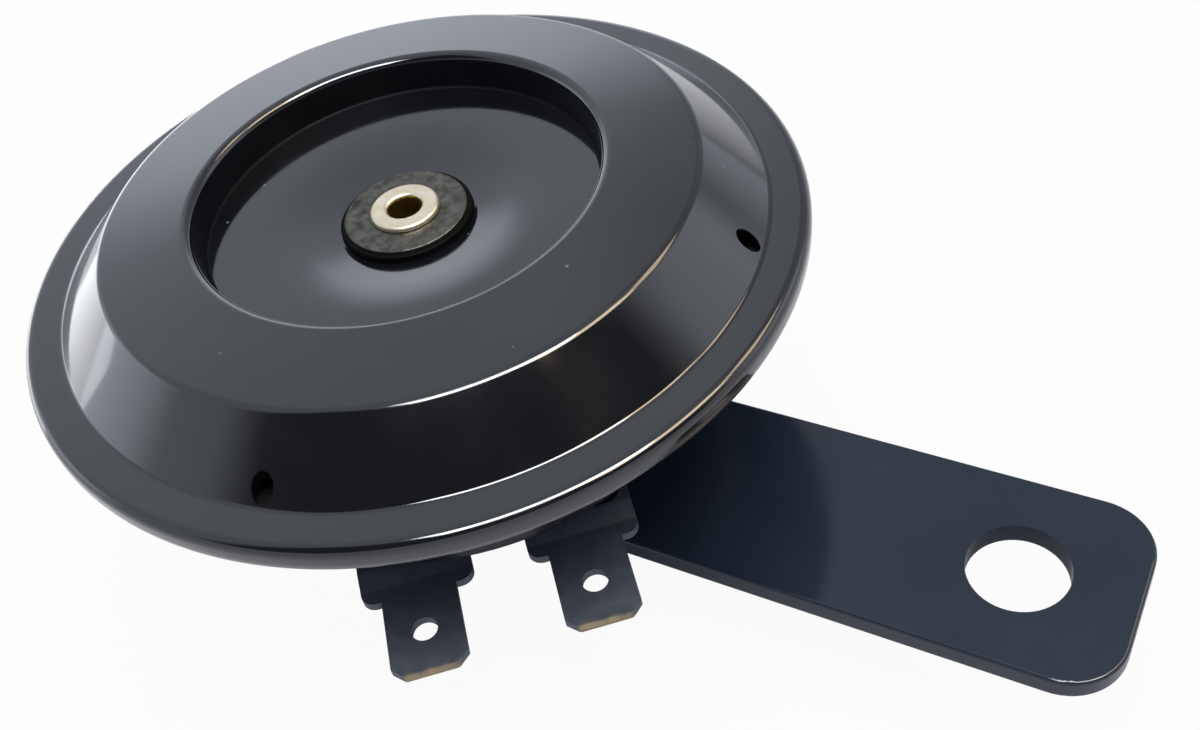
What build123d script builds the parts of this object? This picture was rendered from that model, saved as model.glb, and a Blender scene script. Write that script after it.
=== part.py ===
from build123d import *
import os
from math import cos, sin, radians

# Electric disc horn on its fixing bracket.  Millimetres.
# Frame: origin at the centre of the bracket's bolt hole, on the bracket's back face;
# +X points out along the bracket, away from the horn; +Z is the horn's axis, towards its front.

# ---- driving dimensions ----
HORN_TO_HOLE = 53.3          # horn axis to bolt hole
BRACKET_WIDTH = 18.4
BRACKET_THICK = 2.0
BRACKET_END = 9.8            # bolt hole to the free end
BRACKET_CORNER_R = 5.0
BRACKET_EDGE_R = 0.3         # outer edges, rounded by the shears and the paint
BOLT_HOLE_R = 4.25           # clears an M8 bolt
RIM_ABOVE_BRACKET = 21.2     # bracket front face to the middle of the horn's rim

# Heights below are measured along the axis from the middle of the rim, radii from the axis.
RIM_R = 34.0
HEM_THICK = 3.0              # rolled hem, over the whole clamped stack
HEM_FOLD_R = 30.2            # inner edge of the fold under the rim
HEM_UNDER_FILLET, HEM_TOP_FILLET = 1.5, 0.95
COVER_SHEET = 0.6
FOOT_R = 30.65               # wall meets flange
SHOULDER_R, SHOULDER_H = 25.4, 6.6
DISH_R, DISH_RIM_H = 17.4, 7.5
DISH_FLOOR_R, DISH_FLOOR_H = 17.1, 4.1
DISH_SLOPE_R, DISH_SLOPE_H = 12.5, 3.95
SEAT_R, SEAT_H = 7.0, 2.75   # flat seat under the centre fixing
FOOT_FILLET, SHOULDER_FILLET, DISH_RIM_FILLET, DISH_FLOOR_FILLET = 0.6, 1.1, 0.8, 0.3
DISH_SLOPE_FILLET, SEAT_FILLET = 20.0, 4.0
DRAIN_R, DRAIN_HOLE_R = 29.5, 0.9
DRAIN_COUNT, DRAIN_START = 4, 12.0

GASKET_THICK = 0.3
DIAPHRAGM_SHEET = 0.3
STACK_R = 32.4               # gaskets, diaphragm and housing flange inside the hem
GASKET_INNER_R = 28.4
CORRUGATION = ((17.5, 0.0), (19.0, -0.6), (21.0, -0.6), (22.5, 0.0))
CORRUGATION_FILLET = 0.9

HOUSING_SHEET = 0.9
BOWL_MOUTH_R, BOWL_BACK_R = 27.6, 24.6
BOWL_BACK_H = -14.3
BOWL_CORNER_R, BOWL_MOUTH_FILLET = 3.2, 1.0

RIVET_SHANK_R, RIVET_BORE_R = 2.0, 1.45
RIVET_HEAD_R, RIVET_HEAD_THICK = 3.05, 0.5
RIVET_HEAD_ROUND, RIVET_FUNNEL_ROUND = 0.3, 0.4
RIVET_TAIL_R, RIVET_TAIL_THICK = 2.9, 0.6
CENTRE_HOLE_R = 2.1
WASHER_R, WASHER_THICK, WASHER_EDGE_R = 5.35, 0.5, 0.12
SPACER_R, SPACER_TOP_R, SPACER_THICK = 5.8, 5.6, 0.4
INNER_WASHER_R = 5.5

ARMATURE_R, ARMATURE_NECK_R = 8.5, 5.5
ARMATURE_NECK_H, ARMATURE_FACE_H = -0.7, -3.5
ARMATURE_RECESS_R, ARMATURE_RECESS_DEPTH = 3.3, 1.1
AIR_GAP = 0.7
POLE_R, STUD_R = 5.0, 3.9
BOBBIN_TUBE_R, BOBBIN_FLANGE_R, BOBBIN_WALL = 6.0, 11.6, 0.8
BOBBIN_TOP_H = -5.0
WINDING_R = 10.9

# Contact breaker, on the side of the housing away from the bracket.
CARRIER_BACK_X, CARRIER_TIP_X = -21.0, -12.6
CARRIER_FOOT_TIP_X = -12.9
CARRIER_WIDTH, CARRIER_SHEET = 9.0, 1.0
CARRIER_TOP_H = -5.4
CARRIER_RIVET_X, CARRIER_RIVET_Y = -14.6, 3.3
STACK_X = -14.8
INSULATOR_SIDE = 5.0
LEAF_THICK, ARM_THICK = 0.3, 0.8
LOWER_INSULATOR, UPPER_INSULATOR = 1.0, 0.8
CONTACT_X, CONTACT_R, CONTACT_THICK = -10.6, 1.4, 0.6
LEAF_TIP_X, ARM_TIP_X = -6.8, -9.0
LEAF_WIDTH, ARM_WIDTH, LEAF_CORNER_R = 4.0, 4.6, 0.9
SMALL_RIVET_R, SMALL_HEAD_R, SMALL_HEAD_THICK = 0.9, 1.5, 0.6
HEAD_ROUND_SHARE = 0.6       # of a rivet head's thickness
SCREW_X, SCREW_R, SCREW_POINT_R = -18.0, 1.5, 0.9
SCREW_CLEARANCE = 0.3        # round the screw in the carrier's foot
SCREW_POINT_LENGTH = 1.0
SCREW_TAIL = 1.8             # stands out of its nut
SCREW_SLOT_WIDTH, SCREW_SLOT_DEPTH = 0.8, 0.9

# Terminals, measured along and across the direction in which the blades point.
TERMINAL_ANGLE = -49.5
TERMINAL_PITCH = 14.2
TERMINAL_THICK = 0.8
STRIP_WIDTH, BLADE_WIDTH = 9.5, 6.3
STRIP_START, BEND_START, BEND_END, BLADE_START, BLADE_END = 13.8, 21.4, 23.2, 24.5, 32.3
BEND_DROP = 0.5
TIP_CHAMFER, TIP_BEVEL = 1.15, 0.25
BLADE_HOLE, BLADE_HOLE_R = 28.2, 1.1
TERMINAL_RIVET, TERMINAL_RIVET_R = 17.0, 1.5
TERMINAL_HEAD_R, TERMINAL_HEAD_THICK = 2.6, 1.0
BEND_R, SHOULDER_CORNER_R = 1.0, 1.2
PLATE_THICK = 1.0
PLATE_START, PLATE_END, PLATE_WIDTH, PLATE_CORNER_R = 13.0, 21.2, 22.4, 1.5
INNER_PLATE_LENGTH = 12.0
HOUSING_CLEARANCE, BOBBIN_CLEARANCE = 0.2, 0.6
SPIGOT_R = 2.6
TAG_THICK, TAG_WIDTH, TAG_TIP = 0.4, 2.2, 13.2

CORE_WASHER_R, CORE_WASHER_THICK = 8.5, 1.2
M8_FLATS, M8_NUT_THICK = 13.0, 6.0
SPRING_WASHER_R, SPRING_WASHER_THICK, SPRING_WASHER_GAP = 7.0, 1.8, 1.4
STUD_TAIL = 1.5              # stands out of the last nut
M3_FLATS, M3_NUT_THICK = 5.5, 2.4
NUT_ROUND_SHARE, NUT_CHAMFER_SHARE = 0.565, 0.03      # of the width across flats
SLIDE_FIT = 0.05             # clearance round pins and shanks
EDGE_BREAK, STUD_CHAMFER = 0.4, 0.6

# ---- heights worked out from them ----
RIM_Z = BRACKET_THICK + RIM_ABOVE_BRACKET
HORN_X = -HORN_TO_HOLE
FLANGE_H = HEM_THICK / 2
DIAPHRAGM_TOP_H = FLANGE_H - COVER_SHEET - GASKET_THICK
DIAPHRAGM_H = DIAPHRAGM_TOP_H - DIAPHRAGM_SHEET
HOUSING_FLANGE_H = DIAPHRAGM_H - GASKET_THICK
FLOOR_H = BOWL_BACK_H + HOUSING_SHEET         # inside face of the housing's back
POLE_H = ARMATURE_FACE_H - AIR_GAP
WASHER_H = SEAT_H + SPACER_THICK
HEAD_H = WASHER_H + WASHER_THICK
PLATE_H = BOWL_BACK_H - PLATE_THICK           # terminal strips lie against this face
STUD_END_H = -RIM_Z - SPRING_WASHER_THICK - M8_NUT_THICK - STUD_TAIL
LEAF_H = CARRIER_TOP_H + LOWER_INSULATOR
ARM_H = LEAF_H + LEAF_THICK + 2 * CONTACT_THICK

# ---- working planes ----
horn = Plane(origin=(HORN_X, 0, RIM_Z))
section = Plane(origin=(HORN_X, 0, RIM_Z), x_dir=(1, 0, 0), z_dir=(0, -1, 0))
horn_axis = Axis((HORN_X, 0, 0), (0, 0, 1))
blade_dir = (cos(radians(TERMINAL_ANGLE)), sin(radians(TERMINAL_ANGLE)), 0)
blade_plan = Plane(origin=(HORN_X, 0, RIM_Z), x_dir=blade_dir, z_dir=(0, 0, 1))
blade_side = Plane(origin=(HORN_X, 0, RIM_Z), x_dir=blade_dir, z_dir=(blade_dir[1], -blade_dir[0], 0))

os.makedirs("parts", exist_ok=True)


def save(part, label):
    part.label = label
    export_step(part, f"parts/{label}.step")


def ring(label, inner_r, outer_r, bottom, top):
    """A flat ring or disc on the horn's axis."""
    with BuildPart() as piece:
        with BuildSketch(horn.offset(bottom)):
            Circle(outer_r)
            Circle(inner_r, mode=Mode.SUBTRACT)
        extrude(amount=top - bottom)
    save(piece.part, label)


def circles(part):
    return part.edges().filter_by(GeomType.CIRCLE)


def hex_nut(label, plane, flats, bore_r, thick):
    """A hexagon nut with its corners turned off at both ends."""
    with BuildPart() as nut:
        with BuildSketch(plane):
            RegularPolygon(radius=flats / 2, side_count=6, major_radius=False)
        extrude(amount=thick)
        with BuildSketch(plane):
            Circle(flats * NUT_ROUND_SHARE)
        extrude(amount=thick, mode=Mode.INTERSECT)
        chamfer(nut.edges().filter_by(GeomType.CIRCLE), flats * NUT_CHAMFER_SHARE)
        with BuildSketch(plane):
            Circle(bore_r)
        extrude(amount=thick, mode=Mode.SUBTRACT)
    save(nut.part, label)


# ---- front cover: one pressed sheet from the centre hole to the fold under the rim ----
with BuildPart() as front_cover:
    with BuildSketch(section):
        with BuildLine():
            FilletPolyline(
                (HEM_FOLD_R, -FLANGE_H),
                (RIM_R, -FLANGE_H),
                (RIM_R, FLANGE_H),
                (FOOT_R, FLANGE_H),
                (SHOULDER_R, SHOULDER_H),
                (DISH_R, DISH_RIM_H),
                (DISH_FLOOR_R, DISH_FLOOR_H),
                (DISH_SLOPE_R, DISH_SLOPE_H),
                (SEAT_R, SEAT_H),
                (CENTRE_HOLE_R, SEAT_H),
                radius=[HEM_UNDER_FILLET, HEM_TOP_FILLET, FOOT_FILLET, SHOULDER_FILLET, DISH_RIM_FILLET,
                        DISH_FLOOR_FILLET, DISH_SLOPE_FILLET, SEAT_FILLET],
            )
            offset(amount=COVER_SHEET, side=Side.LEFT)
        make_face()
    revolve(axis=horn_axis)
    with BuildSketch(horn):
        with PolarLocations(DRAIN_R, DRAIN_COUNT, start_angle=DRAIN_START):
            Circle(DRAIN_HOLE_R)
    extrude(amount=SHOULDER_H, mode=Mode.SUBTRACT)
save(front_cover.part, "front_cover")

# ---- what the hem clamps: gasket, diaphragm, gasket, housing flange ----
ring("front_gasket", GASKET_INNER_R, STACK_R, DIAPHRAGM_TOP_H, DIAPHRAGM_TOP_H + GASKET_THICK)
ring("rear_gasket", GASKET_INNER_R, STACK_R, HOUSING_FLANGE_H, DIAPHRAGM_H)

with BuildPart() as diaphragm:
    with BuildSketch(section):
        with BuildLine():
            FilletPolyline(
                (STACK_R, DIAPHRAGM_H),
                *[(r, DIAPHRAGM_H + rise) for r, rise in reversed(CORRUGATION)],
                (CENTRE_HOLE_R, DIAPHRAGM_H),
                radius=CORRUGATION_FILLET,
            )
            offset(amount=DIAPHRAGM_SHEET, side=Side.RIGHT)
        make_face()
    revolve(axis=horn_axis)
save(diaphragm.part, "diaphragm")

# Pressed bowl: back, drafted wall and flange.  Its back carries the core, the terminals' rivets,
# the breaker's rivets and the adjusting screw.
with BuildPart() as rear_housing:
    with BuildSketch(section):
        with BuildLine():
            FilletPolyline(
                (0, BOWL_BACK_H),
                (BOWL_BACK_R, BOWL_BACK_H),
                (BOWL_MOUTH_R, HOUSING_FLANGE_H - HOUSING_SHEET),
                (STACK_R, HOUSING_FLANGE_H - HOUSING_SHEET),
                radius=[BOWL_CORNER_R, BOWL_MOUTH_FILLET],
            )
            offset(amount=HOUSING_SHEET, side=Side.LEFT)
        make_face()
    revolve(axis=horn_axis)
    with BuildSketch(horn.offset(BOWL_BACK_H)):
        Circle(STUD_R + 2 * SLIDE_FIT)
        with Locations((SCREW_X, 0)):
            Circle(SCREW_R)
        with Locations((CARRIER_RIVET_X, CARRIER_RIVET_Y), (CARRIER_RIVET_X, -CARRIER_RIVET_Y)):
            Circle(SMALL_RIVET_R + SLIDE_FIT)
    extrude(amount=HOUSING_SHEET, mode=Mode.SUBTRACT)
    with BuildSketch(blade_plan.offset(BOWL_BACK_H)):
        with Locations((TERMINAL_RIVET, TERMINAL_PITCH / 2), (TERMINAL_RIVET, -TERMINAL_PITCH / 2)):
            Circle(SPIGOT_R + SLIDE_FIT)
    extrude(amount=HOUSING_SHEET, mode=Mode.SUBTRACT)
save(rear_housing.part, "rear_housing")

# ---- centre fixing: spacer and washer outside, hollow rivet through to the armature ----
with BuildPart() as centre_spacer:
    with BuildSketch(section):
        with BuildLine():
            Polyline(
                (RIVET_SHANK_R + SLIDE_FIT, SEAT_H),
                (SPACER_R, SEAT_H),
                (SPACER_TOP_R, WASHER_H),
                (RIVET_SHANK_R + SLIDE_FIT, WASHER_H),
                close=True,
            )
        make_face()
    revolve(axis=horn_axis)
save(centre_spacer.part, "centre_spacer")

with BuildPart() as centre_washer:
    with BuildSketch(horn.offset(WASHER_H)):
        Circle(WASHER_R)
        Circle(RIVET_SHANK_R + SLIDE_FIT, mode=Mode.SUBTRACT)
    extrude(amount=WASHER_THICK)
    fillet(circles(centre_washer).group_by(SortBy.RADIUS)[-1], WASHER_EDGE_R)
save(centre_washer.part, "centre_washer")

ring("inner_washer", RIVET_SHANK_R + SLIDE_FIT, INNER_WASHER_R, DIAPHRAGM_TOP_H, SEAT_H - COVER_SHEET)

# Soft-iron armature: the neck bears on the diaphragm, the rivet's tail is rolled into the recess.
RECESS_H = ARMATURE_FACE_H + ARMATURE_RECESS_DEPTH
with BuildPart() as armature:
    with BuildSketch(section):
        with BuildLine():
            Polyline(
                (RIVET_SHANK_R, DIAPHRAGM_H),
                (ARMATURE_NECK_R, DIAPHRAGM_H),
                (ARMATURE_NECK_R, ARMATURE_NECK_H),
                (ARMATURE_R, ARMATURE_NECK_H),
                (ARMATURE_R, ARMATURE_FACE_H),
                (ARMATURE_RECESS_R, ARMATURE_FACE_H),
                (ARMATURE_RECESS_R, RECESS_H),
                (RIVET_SHANK_R, RECESS_H),
                close=True,
            )
        make_face()
    revolve(axis=horn_axis)
    chamfer(circles(armature).group_by(SortBy.RADIUS)[-1], EDGE_BREAK)
save(armature.part, "armature")

# The rivet's head is rolled over the washer with a funnel into the bore.
with BuildPart() as centre_rivet:
    with BuildSketch(section):
        with BuildLine():
            Polyline(
                (RIVET_BORE_R, HEAD_H + RIVET_HEAD_THICK),
                (RIVET_HEAD_R, HEAD_H + RIVET_HEAD_THICK),
                (RIVET_HEAD_R, HEAD_H),
                (RIVET_SHANK_R, HEAD_H),
                (RIVET_SHANK_R, RECESS_H),
                (RIVET_TAIL_R, RECESS_H),
                (RIVET_TAIL_R, RECESS_H - RIVET_TAIL_THICK),
                (RIVET_BORE_R, RECESS_H - RIVET_TAIL_THICK),
                close=True,
            )
        make_face()
    revolve(axis=horn_axis)
    head_edges = circles(centre_rivet).group_by(Axis.Z)[-1]
    fillet(head_edges.sort_by(SortBy.RADIUS)[-1], RIVET_HEAD_ROUND)
    funnel_edge = circles(centre_rivet).group_by(Axis.Z)[-1].sort_by(SortBy.RADIUS)[0]
    fillet(funnel_edge, RIVET_FUNNEL_ROUND)
save(centre_rivet.part, "centre_rivet")

# ---- electromagnet: turned core with its rear stud, moulded bobbin, winding ----
with BuildPart() as pole_core:
    with BuildSketch(horn.offset(FLOOR_H)):
        Circle(POLE_R)
    extrude(amount=POLE_H - FLOOR_H)
    chamfer(circles(pole_core).group_by(Axis.Z)[-1], EDGE_BREAK)
    with BuildSketch(horn.offset(FLOOR_H)):
        Circle(STUD_R)
    extrude(amount=STUD_END_H - FLOOR_H)
    chamfer(circles(pole_core).group_by(Axis.Z)[0], STUD_CHAMFER)
save(pole_core.part, "pole_core")

with BuildPart() as coil_bobbin:
    with BuildSketch(section):
        with BuildLine():
            Polyline(
                (POLE_R + SLIDE_FIT, FLOOR_H),
                (BOBBIN_FLANGE_R, FLOOR_H),
                (BOBBIN_FLANGE_R, FLOOR_H + BOBBIN_WALL),
                (BOBBIN_TUBE_R, FLOOR_H + BOBBIN_WALL),
                (BOBBIN_TUBE_R, BOBBIN_TOP_H - BOBBIN_WALL),
                (BOBBIN_FLANGE_R, BOBBIN_TOP_H - BOBBIN_WALL),
                (BOBBIN_FLANGE_R, BOBBIN_TOP_H),
                (POLE_R + SLIDE_FIT, BOBBIN_TOP_H),
                close=True,
            )
        make_face()
    revolve(axis=horn_axis)
save(coil_bobbin.part, "coil_bobbin")
ring("coil_winding", BOBBIN_TUBE_R, WINDING_R, FLOOR_H + BOBBIN_WALL, BOBBIN_TOP_H - BOBBIN_WALL)

# ---- contact breaker: a channel carrier, and the insulated stack riveted on it ----
with BuildPart() as breaker_carrier:
    with BuildSketch(section):
        with BuildLine():
            Polyline(
                (CARRIER_FOOT_TIP_X, FLOOR_H),
                (CARRIER_BACK_X, FLOOR_H),
                (CARRIER_BACK_X, CARRIER_TOP_H),
                (CARRIER_TIP_X, CARRIER_TOP_H),
                (CARRIER_TIP_X, CARRIER_TOP_H - CARRIER_SHEET),
                (CARRIER_BACK_X + CARRIER_SHEET, CARRIER_TOP_H - CARRIER_SHEET),
                (CARRIER_BACK_X + CARRIER_SHEET, FLOOR_H + CARRIER_SHEET),
                (CARRIER_FOOT_TIP_X, FLOOR_H + CARRIER_SHEET),
                close=True,
            )
        make_face()
    extrude(amount=CARRIER_WIDTH / 2, both=True)
    outer_bends = breaker_carrier.edges().filter_by(Axis.Y).group_by(Axis.X)[0]
    fillet(outer_bends, CARRIER_SHEET)
    with BuildSketch(horn.offset(FLOOR_H)):
        with Locations((SCREW_X, 0)):
            Circle(SCREW_R + SCREW_CLEARANCE)
        with Locations((CARRIER_RIVET_X, CARRIER_RIVET_Y), (CARRIER_RIVET_X, -CARRIER_RIVET_Y)):
            Circle(SMALL_RIVET_R + SLIDE_FIT)
    extrude(amount=CARRIER_SHEET, mode=Mode.SUBTRACT)
    with BuildSketch(horn.offset(CARRIER_TOP_H)):
        with Locations((STACK_X, 0)):
            Circle(SMALL_RIVET_R + SLIDE_FIT)
    extrude(amount=-CARRIER_SHEET, mode=Mode.SUBTRACT)
save(breaker_carrier.part, "breaker_carrier")


def stack_plate(label, tip_x, width, bottom, thick):
    """A flat piece of the breaker's stack, with the stack rivet's hole."""
    root_x = STACK_X - INSULATOR_SIDE / 2
    with BuildPart() as piece:
        with BuildSketch(horn.offset(bottom)):
            with Locations(((root_x + tip_x) / 2, 0)):
                RectangleRounded(tip_x - root_x, width, LEAF_CORNER_R)
            with Locations((STACK_X, 0)):
                Circle(SMALL_RIVET_R + SLIDE_FIT, mode=Mode.SUBTRACT)
        extrude(amount=thick)
    save(piece.part, label)


insulator_tip_x = STACK_X + INSULATOR_SIDE / 2
stack_plate("lower_insulator", insulator_tip_x, INSULATOR_SIDE, CARRIER_TOP_H, LOWER_INSULATOR)
stack_plate("contact_leaf", LEAF_TIP_X, LEAF_WIDTH, LEAF_H, LEAF_THICK)
stack_plate("middle_insulator", insulator_tip_x, INSULATOR_SIDE, LEAF_H + LEAF_THICK, 2 * CONTACT_THICK)
stack_plate("contact_arm", ARM_TIP_X, ARM_WIDTH, ARM_H, ARM_THICK)
stack_plate("upper_insulator", insulator_tip_x, INSULATOR_SIDE, ARM_H + ARM_THICK, UPPER_INSULATOR)
STACK_TOP_H = ARM_H + ARM_THICK + UPPER_INSULATOR

for label, bottom in (("moving_contact", LEAF_H + LEAF_THICK), ("fixed_contact", ARM_H - CONTACT_THICK)):
    with BuildPart() as contact:
        with BuildSketch(horn.offset(bottom)):
            with Locations((CONTACT_X, 0)):
                Circle(CONTACT_R)
        extrude(amount=CONTACT_THICK)
    save(contact.part, label)


def rivet_row(label, plane, places, shank_r, head_r, bottom, top, head_thick):
    """Like rivets: a shank from bottom to top, and a rounded head at each end."""
    with BuildPart() as rivets:
        with BuildSketch(plane.offset(bottom - head_thick)):
            with Locations(*places):
                Circle(head_r)
        extrude(amount=head_thick)
        with BuildSketch(plane.offset(bottom)):
            with Locations(*places):
                Circle(shank_r)
        extrude(amount=top - bottom)
        with BuildSketch(plane.offset(top)):
            with Locations(*places):
                Circle(head_r)
        extrude(amount=head_thick)
        fillet(circles(rivets).group_by(Axis.Z)[-1], head_thick * HEAD_ROUND_SHARE)
        fillet(circles(rivets).group_by(Axis.Z)[0], head_thick * HEAD_ROUND_SHARE)
    save(rivets.part, label)


rivet_row("stack_rivet", horn, [(STACK_X, 0)], SMALL_RIVET_R, SMALL_HEAD_R,
          CARRIER_TOP_H - CARRIER_SHEET, STACK_TOP_H, SMALL_HEAD_THICK)
carrier_places = [(CARRIER_RIVET_X, CARRIER_RIVET_Y), (CARRIER_RIVET_X, -CARRIER_RIVET_Y)]
rivet_row("carrier_rivets", horn, carrier_places, SMALL_RIVET_R, SMALL_HEAD_R,
          BOWL_BACK_H, FLOOR_H + CARRIER_SHEET, SMALL_HEAD_THICK)

# The adjusting screw runs in the housing and its nut, and its point bears under the carrier.
SCREW_TOP_H = CARRIER_TOP_H - CARRIER_SHEET
SCREW_END_H = BOWL_BACK_H - M3_NUT_THICK - SCREW_TAIL
with BuildPart() as adjusting_screw:
    with BuildSketch(horn.offset(SCREW_END_H)):
        with Locations((SCREW_X, 0)):
            Circle(SCREW_R)
    extrude(amount=SCREW_TOP_H - SCREW_POINT_LENGTH - SCREW_END_H)
    with BuildSketch(horn.offset(SCREW_TOP_H - SCREW_POINT_LENGTH)):
        with Locations((SCREW_X, 0)):
            Circle(SCREW_POINT_R)
    extrude(amount=SCREW_POINT_LENGTH)
    chamfer(circles(adjusting_screw).group_by(Axis.Z)[0], EDGE_BREAK)
    with BuildSketch(horn.offset(SCREW_END_H)):
        with Locations((SCREW_X, 0)):
            Rectangle(3 * SCREW_R, SCREW_SLOT_WIDTH)
    extrude(amount=SCREW_SLOT_DEPTH, mode=Mode.SUBTRACT)
save(adjusting_screw.part, "adjusting_screw")
screw_plane = Plane(origin=(HORN_X + SCREW_X, 0, RIM_Z + BOWL_BACK_H - M3_NUT_THICK))
hex_nut("adjusting_nut", screw_plane, M3_FLATS, SCREW_R, M3_NUT_THICK)

# ---- terminals: strips riveted to an insulating plate on the housing's back ----
rivet_places = [(TERMINAL_RIVET, -TERMINAL_PITCH / 2), (TERMINAL_RIVET, TERMINAL_PITCH / 2)]

with BuildPart() as outer_insulator:
    with BuildSketch(blade_plan.offset(PLATE_H)):
        with Locations(((PLATE_START + PLATE_END) / 2, 0)):
            RectangleRounded(PLATE_END - PLATE_START, PLATE_WIDTH, PLATE_CORNER_R)
        with Locations(*rivet_places):
            Circle(TERMINAL_RIVET_R + SLIDE_FIT, mode=Mode.SUBTRACT)
    extrude(amount=PLATE_THICK)
save(outer_insulator.part, "outer_insulator")

# Inside, a second plate clears the bobbin and the housing's corner, with a spigot round each rivet.
with BuildPart() as inner_insulator:
    with BuildSketch(blade_plan.offset(FLOOR_H)):
        with Locations((TERMINAL_RIVET, 0)):
            Rectangle(INNER_PLATE_LENGTH, PLATE_WIDTH)
        Circle(BOWL_BACK_R - BOWL_CORNER_R - HOUSING_CLEARANCE, mode=Mode.INTERSECT)
        Circle(BOBBIN_FLANGE_R + BOBBIN_CLEARANCE, mode=Mode.SUBTRACT)
    extrude(amount=PLATE_THICK)
    with BuildSketch(blade_plan.offset(BOWL_BACK_H)):
        with Locations(*rivet_places):
            Circle(SPIGOT_R)
    extrude(amount=HOUSING_SHEET)
    with BuildSketch(blade_plan.offset(BOWL_BACK_H)):
        with Locations(*rivet_places):
            Circle(TERMINAL_RIVET_R + SLIDE_FIT)
    extrude(amount=HOUSING_SHEET + PLATE_THICK, mode=Mode.SUBTRACT)
save(inner_insulator.part, "inner_insulator")

for label, across in (("terminal_coil", -TERMINAL_PITCH / 2), ("terminal_contact", TERMINAL_PITCH / 2)):
    with BuildPart() as terminal:
        with BuildSketch(blade_side.offset(-across)):
            with BuildLine():
                FilletPolyline(
                    (STRIP_START, PLATE_H),
                    (BEND_START, PLATE_H),
                    (BEND_END, PLATE_H - BEND_DROP),
                    (BLADE_END, PLATE_H - BEND_DROP),
                    radius=BEND_R,
                )
                offset(amount=TERMINAL_THICK, side=Side.RIGHT)
            make_face()
        extrude(amount=STRIP_WIDTH / 2, both=True)
        bevelled = terminal.faces().sort_by(Axis((0, 0, 0), blade_dir))[-1]
        chamfer(bevelled.edges().filter_by(Axis.Z, reverse=True), TIP_BEVEL)
        with BuildSketch(blade_plan.offset(PLATE_H)):
            with Locations(((STRIP_START + BLADE_START) / 2, across)):
                RectangleRounded(BLADE_START - STRIP_START, STRIP_WIDTH, SHOULDER_CORNER_R)
            with BuildLine():
                Polyline(
                    (TERMINAL_RIVET, across - BLADE_WIDTH / 2),
                    (BLADE_END - TIP_CHAMFER, across - BLADE_WIDTH / 2),
                    (BLADE_END, across - BLADE_WIDTH / 2 + TIP_CHAMFER),
                    (BLADE_END, across + BLADE_WIDTH / 2 - TIP_CHAMFER),
                    (BLADE_END - TIP_CHAMFER, across + BLADE_WIDTH / 2),
                    (TERMINAL_RIVET, across + BLADE_WIDTH / 2),
                    close=True,
                )
            make_face()
            with Locations((BLADE_HOLE, across)):
                Circle(BLADE_HOLE_R, mode=Mode.SUBTRACT)
            with Locations((TERMINAL_RIVET, across)):
                Circle(TERMINAL_RIVET_R + SLIDE_FIT, mode=Mode.SUBTRACT)
        extrude(amount=-BEND_DROP - TERMINAL_THICK, mode=Mode.INTERSECT)
    save(terminal.part, label)

# Solder tags lie on the inner plate under the rivets' inner heads, tails towards the coil.
TAG_H = FLOOR_H + PLATE_THICK
with BuildPart() as solder_tags:
    with BuildSketch(blade_plan.offset(TAG_H)):
        with Locations(*rivet_places):
            Circle(TERMINAL_HEAD_R)
        with Locations(*[((TERMINAL_RIVET + TAG_TIP) / 2, across) for _, across in rivet_places]):
            Rectangle(TERMINAL_RIVET - TAG_TIP, TAG_WIDTH)
        with Locations(*rivet_places):
            Circle(TERMINAL_RIVET_R + SLIDE_FIT, mode=Mode.SUBTRACT)
    extrude(amount=TAG_THICK)
save(solder_tags.part, "solder_tags")
rivet_row("terminal_rivets", blade_plan, rivet_places, TERMINAL_RIVET_R, TERMINAL_HEAD_R,
          PLATE_H - TERMINAL_THICK, TAG_H + TAG_THICK, TERMINAL_HEAD_THICK)

# ---- fixing: washer and nut hold the core in the housing, a second nut holds the bracket ----
CORE_NUT_H = BOWL_BACK_H - CORE_WASHER_THICK
ring("core_washer", STUD_R + SLIDE_FIT, CORE_WASHER_R, CORE_NUT_H, BOWL_BACK_H)
bracket_front = Plane(origin=(HORN_X, 0, BRACKET_THICK))
hex_nut("core_nut", bracket_front, M8_FLATS, STUD_R, RIM_Z + CORE_NUT_H - BRACKET_THICK)

# Flat strip, its inner end round about the stud, its outer corners rounded.
with BuildPart() as bracket:
    with BuildSketch():
        with Locations((BRACKET_END / 2 + HORN_X / 2, 0)):
            Rectangle(BRACKET_END - HORN_X, BRACKET_WIDTH)
        with Locations((HORN_X, 0)):
            Circle(BRACKET_WIDTH / 2)
    extrude(amount=BRACKET_THICK)
    fillet(bracket.edges().filter_by(Axis.Z).group_by(Axis.X)[-1], BRACKET_CORNER_R)
    fillet(bracket.faces().filter_by(Axis.Z).edges(), BRACKET_EDGE_R)
    with BuildSketch():
        Circle(BOLT_HOLE_R)
        with Locations((HORN_X, 0)):
            Circle(STUD_R + 2 * SLIDE_FIT)
    extrude(amount=BRACKET_THICK, mode=Mode.SUBTRACT)
save(bracket.part, "bracket")

with BuildPart() as spring_washer:
    with BuildSketch(Plane(origin=(HORN_X, 0, -SPRING_WASHER_THICK))):
        Circle(SPRING_WASHER_R)
        Circle(STUD_R + 2 * SLIDE_FIT, mode=Mode.SUBTRACT)
        with Locations((0, -SPRING_WASHER_R / 2)):
            Rectangle(SPRING_WASHER_GAP, SPRING_WASHER_R, mode=Mode.SUBTRACT)
    extrude(amount=SPRING_WASHER_THICK)
save(spring_washer.part, "spring_washer")
nut_plane = Plane(origin=(HORN_X, 0, -SPRING_WASHER_THICK - M8_NUT_THICK))
hex_nut("mounting_nut", nut_plane, M8_FLATS, STUD_R, M8_NUT_THICK)
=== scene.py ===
import math

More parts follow.
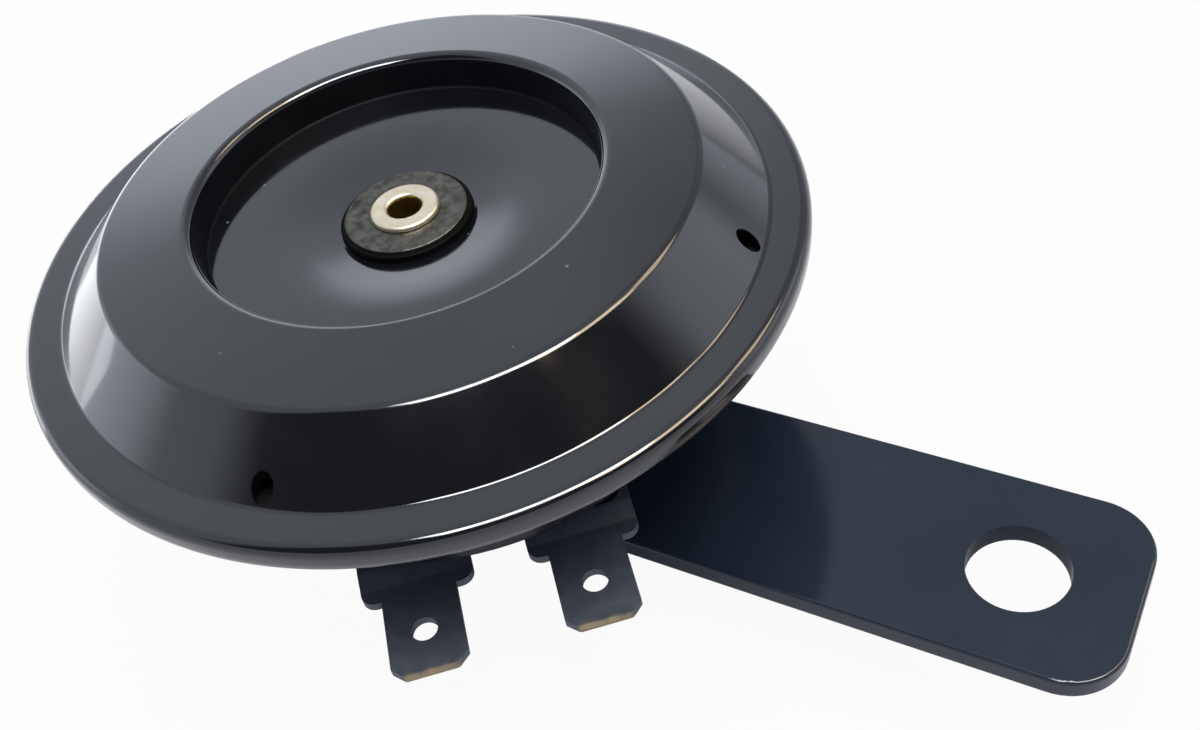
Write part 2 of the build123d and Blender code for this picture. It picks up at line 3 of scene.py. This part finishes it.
import bpy
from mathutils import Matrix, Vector


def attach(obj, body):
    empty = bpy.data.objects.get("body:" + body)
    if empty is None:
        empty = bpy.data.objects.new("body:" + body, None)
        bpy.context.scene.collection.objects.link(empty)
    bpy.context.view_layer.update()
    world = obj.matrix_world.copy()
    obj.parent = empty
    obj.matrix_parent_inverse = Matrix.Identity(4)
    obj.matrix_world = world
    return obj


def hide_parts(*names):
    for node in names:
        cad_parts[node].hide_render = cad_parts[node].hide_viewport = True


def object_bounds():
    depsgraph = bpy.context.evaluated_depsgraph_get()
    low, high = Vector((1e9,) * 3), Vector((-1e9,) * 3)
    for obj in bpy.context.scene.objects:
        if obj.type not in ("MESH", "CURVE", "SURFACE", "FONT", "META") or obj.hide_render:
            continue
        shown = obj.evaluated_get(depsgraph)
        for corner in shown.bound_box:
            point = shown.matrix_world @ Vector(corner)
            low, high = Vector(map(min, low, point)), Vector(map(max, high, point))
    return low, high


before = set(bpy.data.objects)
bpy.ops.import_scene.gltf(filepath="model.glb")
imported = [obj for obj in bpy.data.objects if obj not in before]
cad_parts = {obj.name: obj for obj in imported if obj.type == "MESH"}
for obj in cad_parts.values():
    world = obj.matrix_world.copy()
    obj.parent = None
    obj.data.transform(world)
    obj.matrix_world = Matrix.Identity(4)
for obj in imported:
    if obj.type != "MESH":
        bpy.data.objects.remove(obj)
solid_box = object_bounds()

# ---- Camera ----
# Above and in front of the horn, looking across the disc towards the bracket's hole.
camera = bpy.data.objects.new("camera", bpy.data.cameras.new("camera"))
bpy.context.collection.objects.link(camera)
camera.location = (0.012795, -0.066884, 0.096961)
camera.rotation_euler = [math.radians(a) for a in (44.1846, 8.9238, 27.5090)]
camera.data.sensor_width = 36
camera.data.lens = 40.777
camera.data.clip_start = 0.001
bpy.context.scene.camera = camera
bpy.context.scene.view_settings.view_transform = "Standard"


def colour(code):
    """An sRGB hex value as the linear colour a shader takes."""
    parts = [int(code[i:i + 2], 16) / 255 for i in (0, 2, 4)]
    return [p / 12.92 if p <= 0.04045 else ((p + 0.055) / 1.055) ** 2.4 for p in parts] + [1]


def add_node(tree, kind, settings=None, inputs=None):
    """Adds one node; an input is a plain value or the output socket that feeds it."""
    node = tree.nodes.new(kind)
    for name, value in (settings or {}).items():
        setattr(node, name, value)
    for name, value in (inputs or {}).items():
        if isinstance(value, bpy.types.NodeSocket):
            tree.links.new(value, node.inputs[name])
        else:
            node.inputs[name].default_value = value
    return node


# ---- Light ----
# A soft box over the horn, in a pale room.  Gloss paint and metal show a bright card, three warm
# cards towards the bracket and a low white card at the left instead, none of them straight above.
for name, power, place, size, tint, diffuse in (
        ("soft_box", 8.5, (0.1, 0.0, 1.0), (0.8, 0.7), "FFFFFF", True),
        ("bright_card", 14.0, (0.33, -0.22, 0.99), (0.8, 0.34), "F7F9FF", False),
        ("warm_card_high", 7.0, (0.66, 0.14, 1.08), (0.8, 0.36), "FFE6C2", False),
        ("warm_card_side", 1.6, (0.42, 0.66, 0.95), (0.36, 0.3), "FFE0B8", False),
        ("warm_card_low", 0.1, (1.12, 0.36, 0.42), (0.16, 0.6), "D8A868", False),
        ("white_card_left", 0.032, (-0.19, 0.025, 0.012), (0.16, 0.05), "FAFCFF", False)):
    lamp = bpy.data.lights.new(name, "AREA")
    lamp.shape = "RECTANGLE"
    lamp.size, lamp.size_y = size
    lamp.energy = power
    lamp.color = colour(tint)[:3]
    box = bpy.data.objects.new(name, lamp)
    bpy.context.collection.objects.link(box)
    box.location = place
    if "card" in name:
        box.rotation_euler = Vector(place).to_track_quat("Z", "Y").to_euler()
    box.visible_diffuse = diffuse
    box.visible_glossy = not diffuse
    box.visible_camera = False

# The room: bearing and half width, lowest and highest elevation in degrees, then brightness.
# A part fades out over SIDE_FADE degrees each way at its sides and END_FADE at its ends.
ROOM_LEVEL = 0.8
SIDE_FADE, END_FADE = 9, 5
PAST_ZENITH = 0.001  # keeps the upper fade's two ends apart for a part that reaches the zenith
room_parts = (
    (150, 35, 28, 84, 0.9),
    (85, 25, 8, 60, 0.5),
    (45, 16, 12, 32, 1.3),
    (135, 20, -2, 28, 1.6),
    (-165, 14, -5, 22, 1.5),
    (-50, 72, 20, 64, 0.1),
)
world = bpy.data.worlds.new("pale room")
bpy.context.scene.world = world
world.use_nodes = True
room = world.node_tree
towards = add_node(room, "ShaderNodeTexCoord").outputs["Generated"]
height = add_node(room, "ShaderNodeSeparateXYZ", inputs={"Vector": towards}).outputs["Z"]
level_part = add_node(room, "ShaderNodeVectorMath", {"operation": "MULTIPLY"},
                      {0: towards, 1: (1, 1, 0)})
bearing = add_node(room, "ShaderNodeVectorMath", {"operation": "NORMALIZE"},
                   {0: level_part.outputs["Vector"]})
brightness = ROOM_LEVEL
for middle, half, low, high, level in room_parts:
    middle_direction = (math.cos(math.radians(middle)), math.sin(math.radians(middle)), 0)
    facing = add_node(room, "ShaderNodeVectorMath", {"operation": "DOT_PRODUCT"},
                      {0: bearing.outputs["Vector"], 1: middle_direction})
    across = add_node(room, "ShaderNodeMapRange", {"interpolation_type": "SMOOTHSTEP"},
                      {"Value": facing.outputs["Value"],
                       "From Min": math.cos(math.radians(half + SIDE_FADE)),
                       "From Max": math.cos(math.radians(half - SIDE_FADE))})
    above = add_node(room, "ShaderNodeMapRange", {"interpolation_type": "SMOOTHSTEP"},
                     {"Value": height, "From Min": math.sin(math.radians(low - END_FADE)),
                      "From Max": math.sin(math.radians(low + END_FADE))})
    top_end = math.sin(math.radians(min(high + END_FADE, 90))) + PAST_ZENITH
    below = add_node(room, "ShaderNodeMapRange", {"interpolation_type": "SMOOTHSTEP"},
                     {"Value": height, "From Min": top_end,
                      "From Max": math.sin(math.radians(high - END_FADE))})
    band = add_node(room, "ShaderNodeMath", {"operation": "MULTIPLY"},
                    {0: above.outputs["Result"], 1: below.outputs["Result"]})
    share = add_node(room, "ShaderNodeMath", {"operation": "MULTIPLY"},
                     {0: band.outputs[0], 1: across.outputs["Result"]})
    brightness = add_node(room, "ShaderNodeMix", {"data_type": "FLOAT"},
                          {"Factor": share.outputs[0], "A": brightness, "B": level}).outputs["Result"]
walls = room.nodes["Background"]
walls.inputs["Color"].default_value = colour("E3E9F4")
room.links.new(brightness, walls.inputs["Strength"])
backdrop = add_node(room, "ShaderNodeBackground", inputs={"Color": (1, 1, 1, 1), "Strength": 1.0})
rays = add_node(room, "ShaderNodeLightPath")
seen = add_node(room, "ShaderNodeMixShader",
                inputs={0: rays.outputs["Is Camera Ray"], 1: walls.outputs[0], 2: backdrop.outputs[0]})
room.links.new(seen.outputs[0], room.nodes["World Output"].inputs["Surface"])


def new_material(name):
    """A new material, its node tree and its surface shader."""
    material = bpy.data.materials.new(name)
    material.use_nodes = True
    return material, material.node_tree, material.node_tree.nodes["Principled BSDF"]


# ---- Floor ----
# A white paper sheet a hair under the stud's end; to the camera it is close to white, and keeps a
# faint shadow.
SHEET_SIZE, SHEET_GAP = 6, 0.00002
SEEN_WHITE = 0.95  # the share of plain white that the camera sees in place of the lit paper
bpy.ops.object.select_all(action="DESELECT")
bpy.ops.mesh.primitive_plane_add(size=SHEET_SIZE, location=(0, 0, solid_box[0][2] - SHEET_GAP))
floor = bpy.context.object
floor.name = "paper_sheet"
bpy.ops.object.transform_apply(location=True)
paper, tree, surface = new_material("white paper sheet")
surface.inputs["Base Color"].default_value = colour("C8C8CA")
surface.inputs["Roughness"].default_value = 0.9
light_path = add_node(tree, "ShaderNodeLightPath")
glow = add_node(tree, "ShaderNodeEmission", inputs={"Color": (1, 1, 1, 1), "Strength": 1.0})
blend = add_node(tree, "ShaderNodeMixShader",
                 inputs={0: SEEN_WHITE, 1: surface.outputs[0], 2: glow.outputs[0]})
only_seen = add_node(tree, "ShaderNodeMixShader",
                     inputs={0: light_path.outputs["Is Camera Ray"], 1: surface.outputs[0],
                             2: blend.outputs[0]})
tree.links.new(only_seen.outputs[0], tree.nodes["Material Output"].inputs["Surface"])
floor.data.materials.append(paper)

# ---- Front cover ----
# The sound disc: one sheet of 0.6 mm steel, pressed into a dish, a ring and a sloping wall, and
# rolled round the rim over all that it clamps.  Four drain holes are punched at the wall's foot.
MM = 0.001
HORN_X, RIM_Z = -0.0533, 0.0232
# Radius and height in mm of each corner of its outer face, and the radius that rounds it.
COVER_SECTION = (
    (2.1, 2.75, 0), (5.9, 2.75, 0.6), (11.0, 3.85, 25.0),
    (17.1, 4.1, 0.3), (17.4, 7.5, 0.8), (25.4, 6.6, 1.1), (30.65, 1.5, 0.6), (34.0, 1.5, 0.95),
    (34.0, -1.5, 1.5), (30.2, -1.5, 0),
)
COVER_SHEET = 0.6
# Drain holes: how many, their circle's and their own radius in mm, and the first one's bearing.
DRAIN_HOLES, DRAIN_R, DRAIN_HOLE_R, DRAIN_START = 4, 29.5, 0.9, 12.0
PUNCH_LENGTH, PUNCH_MIDDLE = 4, 3  # in mm, the middle above the rim's centre plane
CORNER_REACH = 2e-6  # metres: how close a point lies to a corner of the section to be on it
ROUND_STEP = 9  # degrees of turn for each face across a rounded corner
SHARP_ANGLE = 35  # degrees: edges sharper than this stay sharp


def turned(name, section, segments, closed=True):
    """Takes a ring of edges through a section's corners about the horn's axis, then rounds them."""
    bpy.ops.object.select_all(action="DESELECT")
    bpy.ops.mesh.primitive_circle_add(vertices=segments, radius=section[0][0] * MM,
                                      location=(HORN_X, 0, RIM_Z + section[0][1] * MM))
    piece = bpy.context.object
    piece.name = name
    bpy.ops.object.transform_apply(location=True)
    bpy.ops.object.mode_set(mode="EDIT")
    path = list(section) + ([section[0]] if closed else [])
    for (r0, h0, _), (r1, h1, _) in zip(path, path[1:]):
        bpy.ops.mesh.extrude_edges_move(TRANSFORM_OT_translate={"value": (0, 0, (h1 - h0) * MM)})
        bpy.ops.transform.resize(value=(r1 / r0, r1 / r0, 1), center_override=(HORN_X, 0, 0))
    bpy.ops.mesh.select_all(action="SELECT")
    bpy.ops.mesh.remove_doubles(threshold=1e-6)
    bpy.ops.mesh.normals_make_consistent(inside=False)
    bpy.ops.mesh.select_mode(type="EDGE")
    for i, (r, h, rounding) in enumerate(section):
        if not rounding:
            continue
        before, after = section[i - 1], section[(i + 1) % len(section)]
        turn = (math.atan2(after[1] - h, after[0] - r) - math.atan2(h - before[1], r - before[0]))
        turn = abs((turn + math.pi) % (2 * math.pi) - math.pi)
        bpy.ops.mesh.select_all(action="DESELECT")
        bpy.ops.object.mode_set(mode="OBJECT")
        at_corner = [abs(math.hypot(v.co.x - HORN_X, v.co.y) - r * MM) < CORNER_REACH and
                     abs(v.co.z - RIM_Z - h * MM) < CORNER_REACH for v in piece.data.vertices]
        for edge in piece.data.edges:
            edge.select = at_corner[edge.vertices[0]] and at_corner[edge.vertices[1]]
        bpy.ops.object.mode_set(mode="EDIT")
        bpy.ops.mesh.bevel(offset=rounding * MM * math.tan(turn / 2), offset_type="OFFSET",
                           segments=max(3, round(math.degrees(turn) / ROUND_STEP)), profile=0.5,
                           affect="EDGES")
    bpy.ops.mesh.select_mode(type="VERT")
    bpy.ops.object.mode_set(mode="OBJECT")
    return piece


def apply_modifier(piece, kind, **settings):
    """Adds one modifier with these settings and applies it."""
    bpy.context.view_layer.objects.active = piece
    modifier = piece.modifiers.new(kind.lower(), kind)
    for name, value in settings.items():
        setattr(modifier, name, value)
    bpy.ops.object.modifier_apply(modifier=modifier.name)


def finish_shading(piece):
    """Smooth across the rounds, with flat and conical faces kept true beside them."""
    bpy.ops.object.select_all(action="DESELECT")
    piece.select_set(True)
    bpy.context.view_layer.objects.active = piece
    bpy.ops.object.shade_smooth_by_angle(angle=math.radians(SHARP_ANGLE))
    apply_modifier(piece, "WEIGHTED_NORMAL", keep_sharp=True, weight=60)


cover = turned("pressed_cover", COVER_SECTION, segments=360, closed=False)
if max(cover.data.polygons, key=lambda face: face.center.z).normal.z < 0:
    cover.data.flip_normals()
apply_modifier(cover, "SOLIDIFY", thickness=COVER_SHEET * MM, offset=-1, use_even_offset=True)
for place in range(DRAIN_HOLES):
    angle = math.radians(DRAIN_START + 360 / DRAIN_HOLES * place)
    bpy.ops.object.select_all(action="DESELECT")
    bpy.ops.mesh.primitive_cylinder_add(
        vertices=40, radius=DRAIN_HOLE_R * MM, depth=PUNCH_LENGTH * MM,
        location=(HORN_X + DRAIN_R * MM * math.cos(angle), DRAIN_R * MM * math.sin(angle),
                  RIM_Z + PUNCH_MIDDLE * MM))
    punch = bpy.context.object
    apply_modifier(cover, "BOOLEAN", operation="DIFFERENCE", solver="EXACT", object=punch)
    bpy.data.objects.remove(punch)
finish_shading(cover)


def noise(tree, coords, size, detail, **more):
    """A noise texture whose features are about this size in mm; gives the socket of its value."""
    inputs = {"Vector": coords, "Scale": 1 / (size * MM), "Detail": detail, **more}
    return add_node(tree, "ShaderNodeTexNoise", inputs=inputs).outputs["Fac"]


def ramp(tree, value, low, high, start=0.0, end=1.0):
    """Maps low to high on to start to end, and stops at either end."""
    return add_node(tree, "ShaderNodeMapRange",
                    inputs={"Value": value, "From Min": low, "From Max": high,
                            "To Min": start, "To Max": end}).outputs["Result"]


def tones(tree, share, first, second):
    """Blends two colours, each a hex value or a socket, by the share of the second."""
    first, second = (colour(tone) if isinstance(tone, str) else tone for tone in (first, second))
    return add_node(tree, "ShaderNodeMix", {"data_type": "RGBA"},
                    {"Factor": share, "A": first, "B": second}).outputs["Result"]


def relief_of(tree, value, height, strength=1.0):
    """A bump of this height in mm; gives the socket of its normal."""
    return add_node(tree, "ShaderNodeBump",
                    inputs={"Strength": strength, "Distance": height * MM,
                            "Height": value}).outputs["Normal"]


def connect(tree, surface, **sockets):
    """Links sockets to the shader's inputs; an input's name is written with _ for a space."""
    for name, socket in sockets.items():
        tree.links.new(socket, surface.inputs[name.replace("_", " ")])


# Gloss black enamel, sprayed and baked: a clear wet gloss with a slight orange peel, a thin film
# of haze where it has been handled, and a few specks of pale dust.
enamel, tree, surface = new_material("gloss black enamel")
HAZE, PEEL, PEEL_HEIGHT = 7, 1.7, 0.0011
HAZE_FILM = 0.012
# Specks: the cell that holds at most one, its radius as a share of the cell, and the lot that
# decides which cells hold one.
SPECK_CELL, SPECK, SPECK_LOT = 2.6, 0.06, 0.72
coords = add_node(tree, "ShaderNodeTexCoord").outputs["Object"]
haze = noise(tree, coords, HAZE, 4.0)
cells = add_node(tree, "ShaderNodeTexVoronoi",
                 inputs={"Vector": coords, "Scale": 1 / (SPECK_CELL * MM)})
lot = add_node(tree, "ShaderNodeSeparateColor", inputs={"Color": cells.outputs["Color"]})
speck_size = ramp(tree, lot.outputs["Red"], SPECK_LOT, 1.0, 0.0, SPECK)
speck = add_node(tree, "ShaderNodeMath", {"operation": "LESS_THAN"},
                 {0: cells.outputs["Distance"], 1: speck_size})
filmed = tones(tree, ramp(tree, haze, 0.5, 0.85, 0.0, HAZE_FILM), "0B0D11", "9A9DA6")
peel = relief_of(tree, noise(tree, coords, PEEL, 1.5), PEEL_HEIGHT)
connect(tree, surface, Base_Color=tones(tree, speck.outputs[0], filmed, "66655F"),
        Roughness=ramp(tree, haze, 0.35, 0.75, 0.08, 0.17), Normal=peel, Coat_Normal=peel)
surface.inputs["Coat Weight"].default_value = 1.0
surface.inputs["Coat Roughness"].default_value = 0.07
cover.data.materials.append(enamel)
# Painted shade: the dish's upright wall and its foot get a copy of the same paint with no coat, little
# specular and more roughness, so that this corner stays dark.
shaded_enamel = enamel.copy()
shaded_enamel.name = "black enamel with painted shade"
surface = shaded_enamel.node_tree.nodes["Principled BSDF"]
shaded_roughness = surface.inputs["Roughness"].links[0].from_node
shaded_roughness.inputs["To Min"].default_value = 0.45
shaded_roughness.inputs["To Max"].default_value = 0.6
surface.inputs["Specular IOR Level"].default_value = 0.08
surface.inputs["Coat Weight"].default_value = 0.0
cover.data.materials.append(shaded_enamel)
# The faces of the dish's wall and foot that take the painted-shade copy of the enamel.
SHADED_FOOT_R, SHADED_WALL_R, SHADED_TOP = 16.75 * MM, 17.6 * MM, 6.95 * MM
for face in cover.data.polygons:
    reach = math.hypot(face.center.x - HORN_X, face.center.y)
    if SHADED_FOOT_R < reach < SHADED_WALL_R and face.center.z < RIM_Z + SHADED_TOP:
        face.material_index = 1
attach(cover, "root")
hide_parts("front_cover")

# ---- Gaskets, diaphragm and inner washer ----
# Behind the cover: two rings of fibre gasket with the spring-steel diaphragm between them, and
# the washer that spaces the diaphragm from the cover.
fibre, tree, surface = new_material("pressed fibre gasket")
coords = add_node(tree, "ShaderNodeTexCoord").outputs["Object"]
strands = noise(tree, coords, 0.4, 5.0, Distortion=1.5)
connect(tree, surface, Base_Color=tones(tree, strands, "0C0B09", "1A1712"),
        Normal=relief_of(tree, strands, 0.02, strength=0.6))
surface.inputs["Roughness"].default_value = 0.9
surface.inputs["Specular IOR Level"].default_value = 0.1


def dress(material, *nodes):
    """Gives nodes that keep their CAD shape this material."""
    for name in nodes:
        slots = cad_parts[name].data.materials
        slots.clear()
        slots.append(material)


def metal(name, tone, tarnish, smooth, rough, patch, grain, relief):
    """A metal finish: two tones in patches, and a fine grain; patch, grain and relief are in mm."""
    material, tree, surface = new_material(name)
    coords = add_node(tree, "ShaderNodeTexCoord").outputs["Object"]
    patches = noise(tree, coords, patch, 5.0, Roughness=0.6)
    grains = noise(tree, coords, grain, 3.0)
    both = add_node(tree, "ShaderNodeMath", {"operation": "MULTIPLY"}, {0: patches, 1: grains})
    connect(tree, surface, Base_Color=tones(tree, ramp(tree, patches, 0.35, 0.68), tone, tarnish),
            Roughness=ramp(tree, both.outputs[0], 0.12, 0.42, smooth, rough),
            Normal=relief_of(tree, grains, relief))
    surface.inputs["Metallic"].default_value = 1.0
    return material


# Rolled spring steel keeps a faint blue-grey; zinc plate is a cool pale grey with dull clouds.
spring_steel = metal("rolled spring steel", "9BA0A6", "787C82", 0.22, 0.4, 4.0, 0.3, 0.001)
zinc = metal("zinc-plated steel", "C3C6C8", "94989A", 0.25, 0.45, 2.5, 0.25, 0.003)
dress(fibre, "front_gasket", "rear_gasket")
dress(spring_steel, "diaphragm", "contact_leaf")
dress(zinc, "inner_washer")

# ---- Centre fixing ----
# A dark fibre spacer with a low lip, a flat steel washer with a dull plate, and a hollow rivet of
# bright tinned steel whose end is rolled over the washer and flared into its bore.
SPACER_SECTION = (
    (2.05, 2.75, 0), (5.8, 2.75, 0.04), (5.72, 3.32, 0.15), (5.36, 3.4, 0), (5.36, 3.15, 0),
    (2.05, 3.15, 0),
)
WASHER_SECTION = ((2.05, 3.15, 0), (5.3, 3.15, 0.05), (5.35, 3.65, 0.14), (2.05, 3.65, 0))
RIVET_SECTION = (
    (1.45, 4.15, 0.42), (2.95, 4.15, 0.3), (3.05, 3.72, 0.1), (2.9, 3.65, 0), (2.0, 3.65, 0),
    (2.0, -2.4, 0), (2.9, -2.4, 0.1), (2.9, -3.0, 0.25), (1.45, -3.0, 0.3),
)
BORE_R, BORE_TOP = 1.62, 3.95
spacer = turned("fibre_spacer", SPACER_SECTION, segments=128)
washer = turned("plain_washer", WASHER_SECTION, segments=128)
rivet = turned("hollow_rivet", RIVET_SECTION, segments=96)
for piece in (spacer, washer, rivet):
    finish_shading(piece)
    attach(piece, "root")
spacer_fibre, tree, surface = new_material("black vulcanised fibre")
coords = add_node(tree, "ShaderNodeTexCoord").outputs["Object"]
layers = noise(tree, coords, 0.5, 4.0)
connect(tree, surface, Base_Color=tones(tree, layers, "030304", "070809"),
        Normal=relief_of(tree, layers, 0.01, strength=0.5))
surface.inputs["Roughness"].default_value = 0.55
surface.inputs["Specular IOR Level"].default_value = 0.06
dull_plate = metal("dull zinc plate, scuffed", "6C6C66", "403F39", 0.34, 0.6, 0.9, 0.18, 0.008)
tin = metal("bright tinned steel", "F2E8D2", "DACDAE", 0.3, 0.5, 1.5, 0.3, 0.003)
for piece, node, slot, material in ((spacer, "centre_spacer", "spacer_rubber", spacer_fibre),
                                    (washer, "centre_washer", "washer_steel", dull_plate),
                                    (rivet, "centre_rivet", "rivet_steel", tin)):
    piece.data.materials.append(material)
    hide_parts(node)
# Inside the bore the plate is thin and has gone a dull olive brown.
bore = metal("tarnished bore", "B49C54", "5A481C", 0.3, 0.5, 0.8, 0.2, 0.006)
rivet.data.materials.append(bore)
for face in rivet.data.polygons:
    reach = math.hypot(face.center.x - HORN_X, face.center.y)
    face.material_index = int(reach < BORE_R * MM and face.center.z < RIM_Z + BORE_TOP * MM)

# ---- Armature, core, bobbin and winding ----
# The magnet inside the bowl: soft iron turned on a lathe, a moulded nylon bobbin, and enamelled
# copper wire wound in close even layers.
iron = metal("turned soft iron", "8B8C8E", "66676A", 0.3, 0.5, 3.0, 0.2, 0.003)
dress(iron, "armature", "pole_core")
nylon, tree, surface = new_material("moulded natural nylon")
coords = add_node(tree, "ShaderNodeTexCoord").outputs["Object"]
connect(tree, surface, Base_Color=tones(tree, noise(tree, coords, 5, 2.0), "DCD6C4", "C9C1AA"))
surface.inputs["Roughness"].default_value = 0.45
surface.inputs["Subsurface Weight"].default_value = 0.1
surface.inputs["Subsurface Scale"].default_value = 1 * MM
dress(nylon, "coil_bobbin")
# Blender's bands repeat each pi / 10 of a unit at a scale of 1; here each band is one wire.
WIRE = 0.35 * MM
winding, tree, surface = new_material("enamelled copper wire")
coords = add_node(tree, "ShaderNodeTexCoord").outputs["Object"]
turns = add_node(tree, "ShaderNodeTexWave", {"wave_type": "BANDS", "bands_direction": "Z"},
                 {"Vector": coords, "Scale": math.pi / (10 * WIRE), "Distortion": 0.0})
connect(tree, surface, Base_Color=tones(tree, turns.outputs["Fac"], "5A2412", "B4572C"),
        Normal=relief_of(tree, turns.outputs["Fac"], 0.12))
surface.inputs["Metallic"].default_value = 0.8
surface.inputs["Roughness"].default_value = 0.3
surface.inputs["Coat Weight"].default_value = 0.6
dress(winding, "coil_winding")

# ---- Contact breaker ----
# A zinc-plated channel carries a riveted stack of board, spring leaf and arm; a pair of tungsten
# contacts meets between leaf and arm, and a screw in the bowl's back sets them.
board, tree, surface = new_material("brown phenolic board")
coords = add_node(tree, "ShaderNodeTexCoord").outputs["Object"]
plies = noise(tree, coords, 0.9, 6.0)
connect(tree, surface, Base_Color=tones(tree, plies, "2C1A10", "4A2D1B"),
        Normal=relief_of(tree, plies, 0.01, strength=0.5))
surface.inputs["Roughness"].default_value = 0.5
tungsten = metal("ground tungsten", "A8A6A2", "8A8884", 0.2, 0.35, 1.0, 0.1, 0.001)
dress(board, "lower_insulator", "middle_insulator", "upper_insulator")
dress(tungsten, "moving_contact", "fixed_contact")
dress(zinc, "breaker_carrier", "contact_arm", "stack_rivet", "carrier_rivets", "adjusting_screw",
      "adjusting_nut")

# ---- Rear housing ----
# The pressed bowl behind the rim, sprayed thinner than the front: a semi-gloss black whose gloss
# comes and goes, with a coarser peel.
bowl_paint, tree, surface = new_material("semi-gloss black enamel")
coords = add_node(tree, "ShaderNodeTexCoord").outputs["Object"]
spray = noise(tree, coords, 6, 5.0)
connect(tree, surface, Base_Color=tones(tree, spray, "131417", "1D1E22"),
        Roughness=ramp(tree, spray, 0.3, 0.7, 0.24, 0.42),
        Normal=relief_of(tree, noise(tree, coords, 1.1, 2.0), 0.006))
dress(bowl_paint, "rear_housing")

# ---- Terminals ----
# Two steel tabs, stamped with a chamfered point and a latch hole and blackened; the point's edge
# is rubbed back to bare tan metal.  Brass rivets hold them to a board on the bowl's back.
BLADE_TURN = math.radians(-49.5)
# Where the bare tip starts and ends, from the horn's axis along the blade, and how far the line
# between them wanders, all in mm.
TIP_START, TIP_END, TIP_RAGGED = 31.7, 32.3, 1.0
tab, tree, surface = new_material("blackened steel tab")
coords = add_node(tree, "ShaderNodeTexCoord").outputs["Object"]
from_axis = add_node(tree, "ShaderNodeVectorMath", {"operation": "SUBTRACT"},
                     {0: coords, 1: (HORN_X, 0, 0)})
along = add_node(tree, "ShaderNodeVectorMath", {"operation": "DOT_PRODUCT"},
                 {0: from_axis.outputs["Vector"], 1: (math.cos(BLADE_TURN), math.sin(BLADE_TURN), 0)})
clouds = noise(tree, coords, 1.2, 5.0)
ragged = add_node(tree, "ShaderNodeMath", {"operation": "MULTIPLY_ADD"},
                  {0: clouds, 1: TIP_RAGGED * MM, 2: along.outputs["Value"]})
bare = add_node(tree, "ShaderNodeMapRange", {"interpolation_type": "SMOOTHSTEP"},
                {"Value": ragged.outputs[0], "From Min": (TIP_START + TIP_RAGGED / 2) * MM,
                 "From Max": (TIP_END + TIP_RAGGED / 2) * MM})
blackened = tones(tree, clouds, "4F5560", "626975")
connect(tree, surface, Base_Color=tones(tree, bare.outputs["Result"], blackened, "9A8868"),
        Roughness=ramp(tree, clouds, 0.3, 0.7, 0.35, 0.5),
        Normal=relief_of(tree, noise(tree, coords, 0.3, 2.0), 0.004))
surface.inputs["Metallic"].default_value = 0.15
dress(tab, "terminal_coil", "terminal_contact")
brass = metal("plain brass", "C9A862", "9C7C3E", 0.28, 0.45, 1.5, 0.2, 0.003)
dress(brass, "terminal_rivets", "solder_tags")
dress(board, "inner_insulator")
dress(spacer_fibre, "outer_insulator")

# ---- Bracket ----
# A strip of 2 mm steel with a bolt hole, dipped in black: a smooth blue-black film that drifts a
# little in tone and gloss, with small nibs under it.
satin, tree, surface = new_material("satin black dip paint")
coords = add_node(tree, "ShaderNodeTexCoord").outputs["Object"]
drift = noise(tree, coords, 9, 4.0)
connect(tree, surface, Base_Color=tones(tree, drift, "1D2632", "252E3A"),
        Roughness=ramp(tree, drift, 0.3, 0.7, 0.1, 0.17),
        Normal=relief_of(tree, noise(tree, coords, 0.8, 2.0), 0.0025))
surface.inputs["Specular IOR Level"].default_value = 0.5
dress(satin, "bracket")

# ---- Fixings behind the bowl ----
# Zinc-plated washer and nuts on the core's stud, and a split spring washer under the last nut.
dress(zinc, "core_washer", "core_nut", "spring_washer", "mounting_nut")
